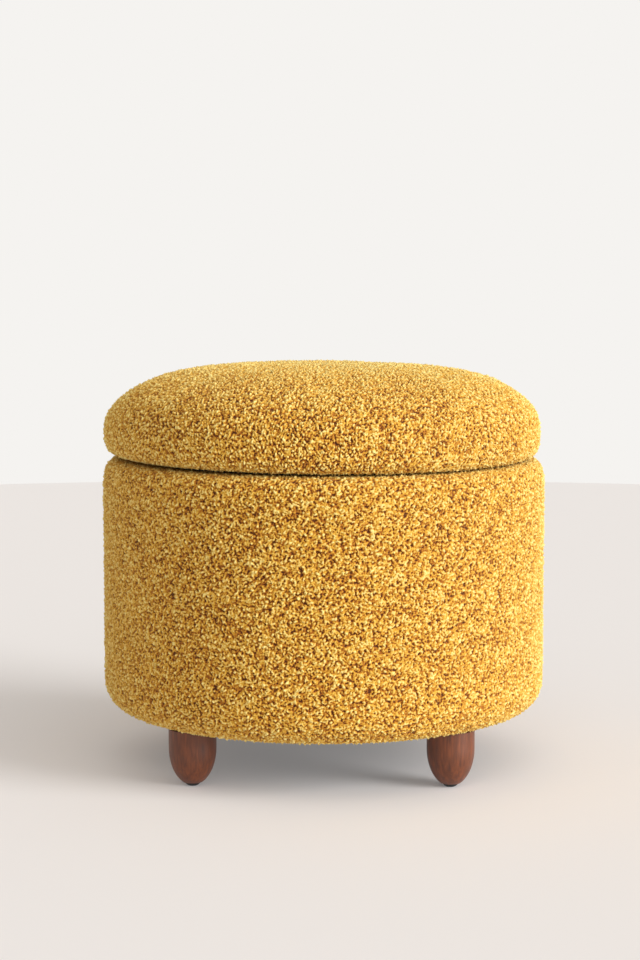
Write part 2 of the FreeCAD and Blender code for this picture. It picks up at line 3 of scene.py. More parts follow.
import bpy
import numpy as np
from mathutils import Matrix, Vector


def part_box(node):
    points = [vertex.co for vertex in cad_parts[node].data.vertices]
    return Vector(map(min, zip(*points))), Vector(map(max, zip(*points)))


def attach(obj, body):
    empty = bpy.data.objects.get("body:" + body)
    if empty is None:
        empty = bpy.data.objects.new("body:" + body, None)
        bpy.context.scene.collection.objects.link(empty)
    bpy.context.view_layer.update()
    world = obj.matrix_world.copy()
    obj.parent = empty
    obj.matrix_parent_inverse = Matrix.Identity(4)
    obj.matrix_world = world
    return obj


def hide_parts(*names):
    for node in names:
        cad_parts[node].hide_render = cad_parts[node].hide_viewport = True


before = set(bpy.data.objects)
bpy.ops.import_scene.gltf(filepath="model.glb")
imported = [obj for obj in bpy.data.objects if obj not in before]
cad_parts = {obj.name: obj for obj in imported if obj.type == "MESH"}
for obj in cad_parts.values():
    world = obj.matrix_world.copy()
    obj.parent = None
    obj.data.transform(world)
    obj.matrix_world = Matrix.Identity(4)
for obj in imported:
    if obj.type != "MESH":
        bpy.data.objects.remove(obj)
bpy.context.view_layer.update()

# A round storage ottoman in mustard boucle, with a lift-off lid and four walnut-stained legs.
# Metres throughout, +Z up, the front looks along -Y.

upward = np.array([0.0, 0.0, 1.0])


def fromHex(code):
    # sRGB hex to the linear colour that shaders want
    parts = [int(code[n:n + 2], 16) / 255 for n in (1, 3, 5)]
    return [c / 12.92 if c <= 0.04045 else ((c + 0.055) / 1.055) ** 2.4 for c in parts] + [1.0]


def addNode(tree, kind, settings=None, links=None):
    # a setting goes to the socket of that name or number, or else to the node's own property
    node = tree.nodes.new(kind)
    properties = {key: value for key, value in (settings or {}).items() if hasattr(node, str(key))}
    for key, value in properties.items():
        setattr(node, key, value)
    for key, value in (settings or {}).items():
        if key not in properties:
            node.inputs[key].default_value = value
    for key, source in (links or {}).items():
        tree.links.new(source, node.inputs[key])
    return node


def newMaterial(name):
    material = bpy.data.materials.new(name)
    material.use_nodes = True
    material.node_tree.nodes.clear()
    coords = addNode(material.node_tree, "ShaderNodeTexCoord").outputs["Object"]
    return material, material.node_tree, coords


def addRamp(tree, stops, factor):
    ramp = addNode(tree, "ShaderNodeValToRGB", links={"Fac": factor})
    elements = ramp.color_ramp.elements
    while len(elements) < len(stops):
        elements.new(0.5)
    for element, (position, colour) in zip(elements, stops):
        element.position = position
        element.color = fromHex(colour)
    return ramp.outputs["Color"]


def finishMaterial(tree, settings, links):
    shader = addNode(tree, "ShaderNodeBsdfPrincipled", settings, links)
    addNode(tree, "ShaderNodeOutputMaterial", links={"Surface": shader.outputs["BSDF"]})


def paint(nodeNames, material):
    for name in nodeNames:
        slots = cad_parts[name].material_slots
        if not slots:
            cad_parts[name].data.materials.append(material)
        for slot in slots:
            slot.material = material


boucle = {
    "meshSpacing": 0.00095,
    "curlHeight": 0.0028,
    "topCurls": {"spacing": 0.0017, "length": 0.0046, "width": 0.0023, "low": 0.5, "high": 1.0},
    "underCurls": {"spacing": 0.0012, "length": 0.0026, "width": 0.0020, "low": 0.2, "high": 0.58},
    "strayCurls": {"spacing": 0.0036, "length": 0.0040, "width": 0.0021, "low": 0.95, "high": 1.4},
    "sunk": 0.45,             # share of a curl's height that stands above the cloth's mean surface
    # painted shade deep between the curls, painted shade, the yarn's own colour and a painted highlight on the curls'
    # tops
    "paintedCreviceShade": "#4C1C02",
    "paintedShadeColour": "#AB610E",
    "yarnColour": "#E6B139",
    "paintedTipHighlight": "#FFEA94",
    "bloomColour": "#FFCD80",
    "bloom": 0.55,
}


def makeBoucle():
    # Boucle woven from looped wool and polyester yarn: matt curls with a painted highlight on top and
    # painted orange brown shade between, with a pale bloom of loose fibre where the cloth turns away.
    material, tree, coords = newMaterial("mustardWovenBoucle")
    height = addNode(tree, "ShaderNodeAttribute", {"attribute_name": "curlHeight"}).outputs["Fac"]
    tint = addNode(tree, "ShaderNodeAttribute", {"attribute_name": "curlTint"}).outputs["Fac"]
    # plies of the yarn, 0.9 mm apart
    plies = addNode(tree, "ShaderNodeTexVoronoi",
                    {"feature": "SMOOTH_F1", "Scale": 1100.0, "Smoothness": 0.4}, {"Vector": coords})
    # thicker and thinner places of the yarn, 15 mm across
    slubs = addNode(tree, "ShaderNodeTexNoise", {"Scale": 65.0, "Detail": 2.0}, {"Vector": coords})
    # a curl's height sets its tone, painted shade low down and a painted highlight on top, then its plies (painted
    # shade between them), its own tint and the slubs shift it
    tone = addNode(tree, "ShaderNodeMath", {"operation": "MULTIPLY_ADD", 1: -0.30},
                   {0: plies.outputs["Distance"], 2: height})
    tone = addNode(tree, "ShaderNodeMath", {"operation": "MULTIPLY_ADD", 1: 0.32}, {0: tint, 2: tone.outputs[0]})
    tone = addNode(tree, "ShaderNodeMath", {"operation": "MULTIPLY_ADD", 1: 0.30},
                   {0: slubs.outputs["Fac"], 2: tone.outputs[0]})
    tone = addNode(tree, "ShaderNodeMath", {"operation": "SUBTRACT", 1: 0.185, "use_clamp": True},
                   {0: tone.outputs[0]})
    colour = addRamp(tree, [(0.0, boucle["paintedCreviceShade"]), (0.26, boucle["paintedShadeColour"]),
                            (0.6, boucle["yarnColour"]), (1.0, boucle["paintedTipHighlight"])], tone.outputs[0])
    # loose fibre in tufts 0.6 mm across
    fibre = addNode(tree, "ShaderNodeTexNoise", {"Scale": 1600.0, "Detail": 3.0, "Roughness": 0.7},
                    {"Vector": coords})
    relief = addNode(tree, "ShaderNodeMath", {"operation": "MULTIPLY_ADD", 1: -0.8},
                     {0: plies.outputs["Distance"], 2: fibre.outputs["Fac"]})
    bump = addNode(tree, "ShaderNodeBump", {"Strength": 0.8, "Distance": 0.0008}, {"Height": relief.outputs[0]})
    finishMaterial(tree, {"Roughness": 0.8, "Specular IOR Level": 0.3, "Sheen Weight": boucle["bloom"],
                          "Sheen Roughness": 0.5, "Sheen Tint": fromHex(boucle["bloomColour"])},
                   {"Base Color": colour, "Normal": bump.outputs["Normal"]})
    return material


def evenedOut(points, spacing):
    # the same line with its points a spacing apart
    steps = np.linalg.norm(np.diff(points, axis=0), axis=1)
    along = np.concatenate([[0], np.cumsum(steps)])
    even = np.linspace(0, along[-1], max(2, round(along[-1] / spacing) + 1))
    return np.stack([np.interp(even, along, points[:, axis]) for axis in (0, 1)], 1)


def quarterTurn(centre, across, up, power, start, end):
    # part of a squarish ellipse about centre, between two angles in degrees
    turn = np.radians(np.linspace(start, end, 90))
    cos, sin = np.cos(turn), np.sin(turn)
    return np.stack([centre[0] + across * np.sign(cos) * np.abs(cos) ** (2 / power),
                     centre[1] + up * np.sign(sin) * np.abs(sin) ** (2 / power)], 1)


def rightOf(path):
    ahead = np.gradient(path, axis=0)
    ahead /= np.linalg.norm(ahead, axis=1, keepdims=True)
    return np.stack([ahead[:, 1], -ahead[:, 0]], 1)


def neighbour(grid, down, along, wraps):
    # the grid seen some rows and columns away, and where there is such a place
    rows, columns = grid.shape[:2]
    row, column = np.arange(rows) + down, np.arange(columns) + along
    real = ((row >= 0) & (row < rows))[:, None] & (np.ones(columns, bool) if wraps
                                                  else (column >= 0) & (column < columns))
    return grid[np.clip(row, 0, rows - 1)][:, column % columns], real


def curlCentres(points, wraps, spacing, dice):
    # a place is a curl's centre where its random number beats all others within the spacing
    chance = dice.random(points.shape[:2]).astype(np.float32)
    best = np.ones(points.shape[:2], bool)
    reach = math.ceil(spacing / boucle["meshSpacing"])
    for down in range(-reach, reach + 1):
        for along in range(-reach, reach + 1):
            if (down, along) != (0, 0):
                other, real = neighbour(chance, down, along, wraps)
                place, _ = neighbour(points, down, along, wraps)
                best &= ~(real & (other > chance) & (((place - points) ** 2).sum(2) < spacing ** 2))
    return np.nonzero(best)


def raiseCurls(points, normals, wraps, kind, dice, field, tint):
    # adds short bent rods of yarn to the height field, each with its own tint
    rows, columns = points.shape[:2]
    down, along = curlCentres(points, wraps, kind["spacing"], dice)
    count = len(down)
    centre, normal = points[down, along], normals[down, along]
    side = np.cross(normal, dice.normal(size=(count, 3)))
    side /= np.linalg.norm(side, axis=1, keepdims=True)
    cross = np.cross(normal, side)
    width = kind["width"] / 2 * dice.uniform(0.8, 1.25, count)
    half = np.maximum(kind["length"] / 2 * dice.uniform(0.35, 1.1, count) - width, 0)
    height = dice.uniform(kind["low"], kind["high"], count)
    bend = dice.uniform(-130, 130, count)
    hue = dice.random(count).astype(np.float32)
    reach = math.ceil((kind["length"] / 2 * 1.1 + kind["width"] / 4) / boucle["meshSpacing"])
    for stepDown in range(-reach, reach + 1):
        for stepAlong in range(-reach, reach + 1):
            row, column = down + stepDown, along + stepAlong
            real = (row >= 0) & (row < rows)
            if not wraps:
                real &= (column >= 0) & (column < columns)
            who = np.nonzero(real)[0]
            row, column = row[who], column[who] % columns
            away = points[row, column] - centre[who]
            x = (away * side[who]).sum(1)
            y = (away * cross[who]).sum(1) - bend[who] * x * x
            past = np.maximum(np.abs(x) - half[who], 0)
            level = height[who] * np.sqrt(np.clip(1 - (past * past + y * y) / width[who] ** 2, 0, 1))
            won = level > field[row, column]
            field[row[won], column[won]] = level[won]
            tint[row[won], column[won]] = hue[who[won]]


def knapped(points, normals, wraps, seed, amount=1.0):
    # the cloth's face with its curls standing on it, and their heights and tints
    dice = np.random.default_rng(seed)
    field = np.zeros(points.shape[:2], np.float32)
    tint = np.zeros(points.shape[:2], np.float32)
    for kind in ("underCurls", "topCurls", "strayCurls"):
        raiseCurls(points, normals, wraps, boucle[kind], dice, field, tint)
    lift = (field - (1 - boucle["sunk"])) * boucle["curlHeight"] * amount
    return points + normals * lift[..., None], field, tint


padding = {
    "clothFrames": 20,
    "quality": 6,
    "clothMass": 0.3,
    "stretchStiffness": 12,
    "shearStiffness": 5,
    "bendStiffness": 0.6,
    "pressure": 4.0,
    "thinSpots": 0.5,         # how firmly the cloth is held back where the batting is thinnest
    "mostSwell": 0.0024,
    "startsSmaller": 0.0006,
}


def swollen(name, points, normals, wraps, held, cageRows, cageColumns, seed):
    # how far the stuffing pushes the cloth out, from a cloth simulation on a coarse cage
    rows, columns = points.shape[:2]
    rowAt = np.linspace(0, rows - 1, cageRows)
    if wraps:
        columnAt = np.linspace(0, columns, cageColumns + 1)[:-1]
    else:
        columnAt = np.linspace(0, columns - 1, cageColumns)
    cageAt = np.ix_(rowAt.round().astype(int), columnAt.round().astype(int) % columns)
    cage, outward, pinned = points[cageAt], normals[cageAt], held[cageAt]
    # where the batting is thin, the cloth is held back a little
    thin = np.random.default_rng(seed).random(pinned.shape)
    for _ in range(3):
        thin = sum(neighbour(thin, d, a, wraps)[0] for d in (-1, 0, 1) for a in (-1, 0, 1)) / 9
    thin = (thin - thin.min()) / (thin.max() - thin.min())
    weight = np.maximum(pinned, padding["thinSpots"] * thin ** 2)
    index = np.arange(cage.shape[0] * cage.shape[1]).reshape(cage.shape[:2])
    if wraps:
        index = np.concatenate([index, index[:, :1]], 1)
    quads = np.stack([index[:-1, :-1], index[:-1, 1:], index[1:, 1:], index[1:, :-1]], 2).reshape(-1, 4)
    mesh = bpy.data.meshes.new(name)
    mesh.from_pydata(cage.reshape(-1, 3).tolist(), [], quads.tolist())
    item = bpy.data.objects.new(name, mesh)
    bpy.context.scene.collection.objects.link(item)
    group = item.vertex_groups.new(name="held")
    for vertex, amount in enumerate(weight.ravel()):
        group.add([vertex], float(amount), "REPLACE")
    cloth = item.modifiers.new("stuffing", "CLOTH")
    settings = cloth.settings
    settings.quality = padding["quality"]
    settings.mass = padding["clothMass"]
    settings.tension_stiffness = settings.compression_stiffness = padding["stretchStiffness"]
    settings.shear_stiffness = padding["shearStiffness"]
    settings.bending_stiffness = padding["bendStiffness"]
    settings.use_pressure = True
    settings.uniform_pressure_force = padding["pressure"]
    settings.effector_weights.gravity = 0
    settings.vertex_group_mass = "held"
    cloth.point_cache.frame_end = padding["clothFrames"]
    scene = bpy.context.scene
    for step in range(1, padding["clothFrames"] + 1):
        scene.frame_set(step)
    shaped = item.evaluated_get(bpy.context.evaluated_depsgraph_get()).data
    moved = np.empty(len(shaped.vertices) * 3)
    shaped.vertices.foreach_get("co", moved)
    swell = ((moved.reshape(cage.shape) - cage) * outward).sum(2)
    print(name, "swells by up to", round(float(swell.max()) * 1000, 1), "mm before the cap")
    swell = np.clip(swell, -padding["mostSwell"], padding["mostSwell"])
    bpy.data.objects.remove(item)
    scene.frame_set(1)
    if wraps:
        swell = np.concatenate([swell, swell[:, :1]], 1)
        columnAt = np.append(columnAt, columns)
    wide = np.stack([np.interp(np.arange(columns), columnAt, line) for line in swell])
    return np.stack([np.interp(np.arange(rows), rowAt, line) for line in wide.T], 1)


def buildMesh(name, points, faces, uvs, values):
    mesh = bpy.data.meshes.new(name)
    mesh.vertices.add(len(points))
    mesh.vertices.foreach_set("co", points.astype(np.float32).ravel())
    mesh.loops.add(faces.size)
    mesh.loops.foreach_set("vertex_index", faces.astype(np.int32).ravel())
    mesh.polygons.add(len(faces))
    mesh.polygons.foreach_set("loop_start", np.arange(0, faces.size, 4, dtype=np.int32))
    mesh.polygons.foreach_set("loop_total", np.full(len(faces), 4, np.int32))
    mesh.polygons.foreach_set("use_smooth", np.ones(len(faces), bool))
    layer = mesh.uv_layers.new(name="OFBake")
    layer.data.foreach_set("uv", uvs.astype(np.float32).ravel())
    mesh.update(calc_edges=True)
    for key, value in values.items():
        mesh.attributes.new(key, "FLOAT", "POINT").data.foreach_set("value", value.astype(np.float32).ravel())
    item = bpy.data.objects.new(name, mesh)
    bpy.context.scene.collection.objects.link(item)
    return item


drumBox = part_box("body_cover")
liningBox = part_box("wall_lining")
drumCover = {
    "radius": max(drumBox[1].x, drumBox[1].y),
    "bottom": drumBox[0].z,
    "top": drumBox[1].z,
    "baseRound": (0.031, 0.032, 2.1),   # across, up and squareness
    "rimRound": (0.021, 0.032, 3.1),
    "mouthRound": 0.004,
    "hemWidth": 0.034,
    "clothDepth": 0.0028,
    "turnIn": 0.024,
    "clearOfLining": 0.0003,
    "baseHangs": 0.0008,      # the curls under the base press down past the legs' tops
    "rimSettles": 0.0015,     # the lid's weight presses the padding of the rim down
    "heldBelowTop": 0.020,    # the padding swells only below this, and within the next value of the wall
    "heldFromWall": 0.012,
    "stapledFrom": 0.012,     # below the top, inside the mouth, where the staples flatten the curls
    "stapledCurls": 0.25,     # share of the curls' height that is left there
    "pressedFrom": (0.025, 0.010),   # in from the side and down from the top, where the lid rests
    "pressedCurls": 0.5,
    "backEvery": 40,          # rows of the face to one row of the cloth's back
    "cage": (40, 132),
    "seed": 11,
}


def makeDrumCover(material):
    d = drumCover
    over = boucle["curlHeight"] * boucle["sunk"]
    wall = d["radius"] - over - padding["startsSmaller"]
    low, high = d["bottom"] + over - d["baseHangs"], d["top"] - over - d["rimSettles"]
    mouth = liningBox[1].x + d["clearOfLining"] + over
    across, up, power = d["baseRound"]
    base = quarterTurn((wall - across, low + up), across, up, power, -90, 0)
    across, up, power = d["rimRound"]
    rim = quarterTurn((wall - across, high - up), across, up, power, 0, 90)
    small = d["mouthRound"]
    inner = quarterTurn((mouth + small, high - small), small, small, 2, 90, 180)
    ends = [[base[0][0] - d["hemWidth"], low]], [[mouth, d["top"] - d["turnIn"]]]
    path = evenedOut(np.concatenate([ends[0], base, rim, inner, ends[1]]), boucle["meshSpacing"])
    outward = rightOf(path)
    columns = round(2 * math.pi * d["radius"] / boucle["meshSpacing"] / 2) * 2
    angle = np.arange(columns) / columns * 2 * math.pi
    ring = np.stack([np.cos(angle), np.sin(angle), np.zeros(columns)], 1)
    points = path[:, None, :1] * ring + path[:, None, 1:] * upward
    normals = outward[:, None, :1] * ring + outward[:, None, 1:] * upward
    fromWall = np.abs(path[:, 0] - wall) + np.clip(path[:, 1] - (high - d["heldBelowTop"]), 0, 1)
    held = np.clip(fromWall / d["heldFromWall"], 0, 1)[:, None] * np.ones(columns)
    points = points + normals * swollen("drumCage", points, normals, True, held, *d["cage"], d["seed"])[..., None]
    # the turned-in edge is pulled flat by its staples, and the rim's curls are pressed by the lid
    stapled = (path[:, 0] < mouth + small / 2) & (path[:, 1] < d["top"] - d["stapledFrom"])
    inFrom, downFrom = d["pressedFrom"]
    pressed = (path[:, 0] < d["radius"] - inFrom) & (path[:, 1] > d["top"] - downFrom)
    amount = np.where(stapled, d["stapledCurls"], np.where(pressed, d["pressedCurls"], 1.0))[:, None]
    points, field, tint = knapped(points, normals, True, d["seed"], amount)
    back = (path - outward * d["clothDepth"])[::-d["backEvery"]]
    backPoints = back[:, None, :1] * ring + back[:, None, 1:] * upward
    rows = len(path) + len(back)
    row, column = np.arange(rows)[:, None], np.arange(columns)[None, :]
    nextRow, nextColumn = (row + 1) % rows, (column + 1) % columns
    faces = np.stack([row * columns + column, row * columns + nextColumn,
                      nextRow * columns + nextColumn, nextRow * columns + column], 2)
    # the map lays the face in two strips, each half way round, with a thin strip of back above each
    rowScale = 0.96 / (columns / 2)
    v = np.concatenate([np.arange(len(path)) * rowScale,
                        len(path) * rowScale + np.linspace(0, 0.01, len(back) + 1)])
    half = (np.arange(columns) >= columns / 2)[None, :, None]
    halfColumn = np.arange(columns) % (columns / 2)
    corner = np.stack([halfColumn, halfColumn + 1], 1) * rowScale
    uvs = np.empty((rows, columns, 4, 2))
    uvs[..., 0] = corner[:, [0, 1, 1, 0]][None] + 0.01
    uvs[..., 1] = np.stack([v[:-1], v[:-1], v[1:], v[1:]], 1)[:, None, :] + 0.5 * half + 0.004
    blank = np.zeros((len(back), columns), np.float32)
    faces = faces.reshape(-1, 4)
    cover = buildMesh("drumCover", np.concatenate([points, backPoints]).reshape(-1, 3), faces, uvs,
                      {"curlHeight": np.concatenate([field, blank]), "curlTint": np.concatenate([tint, blank])})
    cover.data.materials.append(material)
    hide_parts("body_cover", "side_padding", "rim_padding")
    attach(cover, "drum")
    print("drum cover done:", len(faces), "faces")


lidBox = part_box("lid_cover")
lidCover = {
    "radius": max(lidBox[1].x, lidBox[1].y),
    "bottom": lidBox[0].z,
    "top": lidBox[1].z,
    "edgeRound": (0.022, 0.027, 3.2),
    "crownAcross": 3.5,       # squareness of the dome's sides and of its top
    "crownUp": 2.4,
    "hemWidth": 0.034,
    "clothDepth": 0.0028,
    "shiftLeft": 0.0019,      # the lid's edge bulges a little more to the left
    "shiftFrom": 0.19,
    "edgeLift": 0.0042,       # the edge sits high at the left front, where the batting is pulled up
    "liftTurn": 205.0,
    "liftWidth": 0.034,       # how far in and how far up the lift reaches
    "liftHeight": 0.035,
    "heldUpTo": 0.016,        # the hem and lower edge are held still up to this height
    "pressedFrom": (0.022, 0.010),   # in from the side and up from the bottom, where the lid rests
    "pressedCurls": 0.5,
    "backEvery": 30,
    "cage": (61, 61),
    "seed": 23,
}


def lidPath():
    # from the crown's middle, over a squarish dome, round the lower edge and in along the hem
    d = lidCover
    over = boucle["curlHeight"] * boucle["sunk"]
    side = d["radius"] - over - padding["startsSmaller"]
    across, up, power = d["edgeRound"]
    low = d["bottom"] + over - drumCover["rimSettles"]
    turn = np.radians(np.linspace(90, 0, 300))
    crown = d["top"] - over - padding["startsSmaller"] - (low + up)
    dome = np.stack([side * np.cos(turn) ** (2 / d["crownAcross"]),
                     low + up + crown * np.sin(turn) ** (2 / d["crownUp"])], 1)
    dome[0, 0] = 0
    lower = quarterTurn((side - across, low + up), across, up, power, 0, -90)[1:]
    return evenedOut(np.concatenate([dome, lower, [[side - across - d["hemWidth"], low]]]), boucle["meshSpacing"])


def makeLidCover(material):
    d = lidCover
    path = lidPath()
    outward = -rightOf(path)
    outward[0] = [0, 1]
    steps = len(path) - 1
    size = 2 * steps + 1
    # a square grid wrapped onto the dome, so that no cell is pinched at the middle
    a, b = np.meshgrid(np.linspace(-1, 1, size), np.linspace(-1, 1, size))
    far = np.maximum(np.abs(a), np.abs(b))
    flat = np.abs(a) >= np.abs(b)
    safe = np.where(far == 0, 1, np.where(flat, a, b))
    turn = np.where(flat, math.pi / 4 * b / safe, math.pi / 2 - math.pi / 4 * a / safe)
    turn = turn + np.where(safe < 0, math.pi, 0)
    ring = np.stack([np.cos(turn), np.sin(turn), np.zeros_like(turn)], 2)
    r, z, nr, nz = [np.interp(far * steps, np.arange(steps + 1), x) for x in (*path.T, *outward.T)]
    points = r[..., None] * ring + z[..., None] * upward
    normals = nr[..., None] * ring + nz[..., None] * upward
    held = np.clip((d["bottom"] + d["heldUpTo"] - z) / 0.01, 0, 1)
    points = points + normals * swollen("lidCage", points, normals, False, held, *d["cage"], d["seed"])[..., None]
    reach = np.clip((r - d["radius"] + d["liftWidth"]) / 0.02, 0, 1)
    reach = reach * np.clip((d["bottom"] + d["liftHeight"] - z) / 0.03, 0, 1)
    toward = 0.5 + 0.5 * np.cos(turn - math.radians(d["liftTurn"]))
    points[..., 2] += d["edgeLift"] * reach * toward ** 3
    inFrom, upFrom = d["pressedFrom"]
    pressed = (r < d["radius"] - inFrom) & (z < d["bottom"] + upFrom)
    amount = np.where(pressed, d["pressedCurls"], 1.0)
    points, field, tint = knapped(points, normals, False, d["seed"], amount)
    points[..., 0] -= d["shiftLeft"] * np.clip((r - d["shiftFrom"]) / 0.03, 0, 1)
    # the outer ring of the grid, in order, carries the coarse back of the cloth
    index = np.arange(size * size).reshape(size, size)
    rim = np.concatenate([index[0, :-1], index[:-1, -1], index[-1, :0:-1], index[:0:-1, 0]])
    rimRing = ring.reshape(-1, 3)[rim]
    back = (path - outward * d["clothDepth"])[::-d["backEvery"]]
    back = back[back[:, 0] > 0.004]   # a fan closes the middle
    backPoints = back[:, None, :1] * rimRing + back[:, None, 1:] * upward
    middle = np.array([[0, 0, path[0][1] - d["clothDepth"]]])
    count = len(rim)
    allPoints = np.concatenate([points.reshape(-1, 3), backPoints.reshape(-1, 3), middle])
    quads = np.stack([index[:-1, :-1], index[:-1, 1:], index[1:, 1:], index[1:, :-1]], 2).reshape(-1, 4)
    rings = [rim] + [size * size + n * count + np.arange(count) for n in range(len(back))]
    backFaces = [np.stack([np.roll(one, -1), one, two, np.roll(two, -1)], 1)
                 for one, two in zip(rings, rings[1:])]
    last = rings[-1]
    fan = np.stack([np.roll(last, -1)[::2], last[::2], np.full(count // 2, len(allPoints) - 1),
                    np.roll(last, -2)[::2]], 1)
    faces = np.concatenate([quads, *backFaces, fan])
    # the face fills the map but for a narrow strip along the top, which holds the back
    u, v = np.meshgrid(np.linspace(0, 0.97, size), np.linspace(0, 0.97, size))
    uvFace = np.stack([u, v], 2).reshape(-1, 2)[quads]
    spread = np.linspace(0, 0.97, count + 1)
    edge = 0.975 + 0.02 * np.linspace(0, 1, len(rings) + 1)
    uvBack = [np.stack([np.stack([spread[1:], spread[:-1], spread[:-1], spread[1:]], 1),
                        np.tile([lowEdge, lowEdge, highEdge, highEdge], (count, 1))], 2)
              for lowEdge, highEdge in zip(edge[:-2], edge[1:-1])]
    fanSpread = np.linspace(0, 0.97, count // 2 + 1)
    uvFan = np.stack([np.stack([fanSpread[1:] * 0.5 + fanSpread[:-1] * 0.5, fanSpread[:-1], fanSpread[:-1],
                                fanSpread[1:]], 1),
                      np.tile([edge[-2], edge[-2], edge[-1], edge[-2]], (count // 2, 1))], 2)
    blank = np.zeros(len(allPoints) - size * size, np.float32)
    cover = buildMesh("lidCover", allPoints, faces, np.concatenate([uvFace, *uvBack, uvFan]),
                      {"curlHeight": np.concatenate([field.ravel(), blank]),
                       "curlTint": np.concatenate([tint.ravel(), blank])})
    cover.data.materials.append(material)
    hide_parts("lid_cover", "lid_batting", "lid_foam")
    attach(cover, "lid")
    print("lid cover done:", len(faces), "faces")


walnut = {
    "dark": "#4C2411",
    "mid": "#663316",
    "light": "#82421F",
    "ringGap": 0.003,
    "shine": 0.42,
    "shineVaries": 0.14,
}


def makeWalnut():
    # Hardwood turned on a lathe, stained walnut and sprayed with satin lacquer: an even red
    # brown, faint grain that runs up the leg, and a soft broad shine.
    material, tree, coords = newMaterial("walnutStainedTurnedBeech")
    along = addNode(tree, "ShaderNodeMapping", {"Scale": (1.0, 1.0, 0.1)}, {"Vector": coords})
    grain = addNode(tree, "ShaderNodeTexNoise", {"Scale": 1 / walnut["ringGap"], "Detail": 5.0, "Roughness": 0.55,
                                                 "Distortion": 0.5}, {"Vector": along.outputs[0]})
    # pores, 0.5 mm wide and ten times as long
    pores = addNode(tree, "ShaderNodeTexNoise", {"Scale": 1900.0, "Detail": 2.0}, {"Vector": along.outputs[0]})
    colour = addRamp(tree, [(0.28, walnut["dark"]), (0.5, walnut["mid"]), (0.78, walnut["light"])],
                     grain.outputs["Fac"])
    shine = addNode(tree, "ShaderNodeMapRange",
                    {"To Min": walnut["shine"], "To Max": walnut["shine"] + walnut["shineVaries"]},
                    {"Value": grain.outputs["Fac"]})
    bump = addNode(tree, "ShaderNodeBump", {"Strength": 0.1, "Distance": 0.0002}, {"Height": pores.outputs["Fac"]})
    finishMaterial(tree, {"IOR": 1.5, "Coat Weight": 0.2, "Coat Roughness": 0.3},
                   {"Base Color": colour, "Roughness": shine.outputs[0], "Normal": bump.outputs["Normal"]})
    return material


def makeGlidePlastic():
    # Injection-moulded polypropylene: near black with a dull shine, and scuffed by the floor.
    material, tree, coords = newMaterial("blackMouldedPolypropylene")
    # scuffs about 1 mm across
    scuffs = addNode(tree, "ShaderNodeTexNoise", {"Scale": 900.0, "Detail": 3.0}, {"Vector": coords})
    rough = addNode(tree, "ShaderNodeMapRange", {"To Min": 0.4, "To Max": 0.62}, {"Value": scuffs.outputs["Fac"]})
    colour = addRamp(tree, [(0.35, "#131211"), (0.75, "#23211F")], scuffs.outputs["Fac"])
    finishMaterial(tree, {}, {"Base Color": colour, "Roughness": rough.outputs[0]})
    return material


timber = {"plyLight": "#D8BC8C", "plyDark": "#B08B59", "pineLight": "#E3C690", "pineDark": "#C79A5C"}


def makeTimber(name, light, dark, grainGap, stretch):
    # Sanded bare wood: pale, dry and matt, with darker grain lines along the board.
    material, tree, coords = newMaterial(name)
    along = addNode(tree, "ShaderNodeMapping", {"Scale": stretch}, {"Vector": coords})
    grain = addNode(tree, "ShaderNodeTexNoise", {"Scale": 1 / grainGap, "Detail": 6.0, "Distortion": 1.2},
                    {"Vector": along.outputs[0]})
    colour = addRamp(tree, [(0.32, dark), (0.62, light)], grain.outputs["Fac"])
    bump = addNode(tree, "ShaderNodeBump", {"Strength": 0.2, "Distance": 0.0003}, {"Height": grain.outputs["Fac"]})
    finishMaterial(tree, {"Roughness": 0.78}, {"Base Color": colour, "Normal": bump.outputs["Normal"]})
    return material


lining = {
    "boardThickness": 0.002,
    "threadGap": 0.0018,      # as drawn
    "light": "#7B736B",
    "dark": "#3D3935",
}
liningFace = liningBox[1].x - lining["boardThickness"]
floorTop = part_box("floor_panel")[1].z


def makeLiningCloth():
    # Plain-woven polycotton over board: charcoal threads, matt.
    # Real threads lie about 0.6 mm apart. They're drawn three times as coarse, so that they show.
    material, tree, coords = newMaterial("charcoalPlainWovenPolycotton")
    scale = math.pi / 10 / lining["threadGap"]
    waves = []
    for direction in ("DIAGONAL", "Z"):
        wave = addNode(tree, "ShaderNodeTexWave", {"bands_direction": direction, "Scale": scale,
                                                   "Distortion": 1.5, "Detail": 2.0, "Detail Scale": 2.0},
                       {"Vector": coords})
        waves.append(wave.outputs["Fac"])
    weave = addNode(tree, "ShaderNodeMath", {"operation": "MULTIPLY"}, {0: waves[0], 1: waves[1]})
    # slubs, 6 mm long
    slubs = addNode(tree, "ShaderNodeTexNoise", {"Scale": 160.0, "Detail": 4.0}, {"Vector": coords})
    tone = addNode(tree, "ShaderNodeMath", {"operation": "MULTIPLY_ADD", 1: 0.6},
                   {0: slubs.outputs["Fac"], 2: weave.outputs[0]})
    colour = addRamp(tree, [(0.15, lining["dark"]), (0.95, lining["light"])], tone.outputs[0])
    bump = addNode(tree, "ShaderNodeBump", {"Strength": 0.5, "Distance": 0.0003}, {"Height": tone.outputs[0]})
    finishMaterial(tree, {"Roughness": 0.9, "Sheen Weight": 0.15, "Sheen Roughness": 0.5},
                   {"Base Color": colour, "Normal": bump.outputs["Normal"]})
    return material


tape = {
    "height": 0.014,
    "thickness": 0.0007,
    "backRise": 0.009,        # behind the lining it starts this far above its front edge
    "bevel": 0.0003,
    "bite": 0.0004,           # how deep it sits in the lining's face
    "cordGap": 0.002,         # as drawn
    "light": "#A08A66",
    "dark": "#5E4E38",
}
tapeLow = liningBox[1].z - tape["height"]


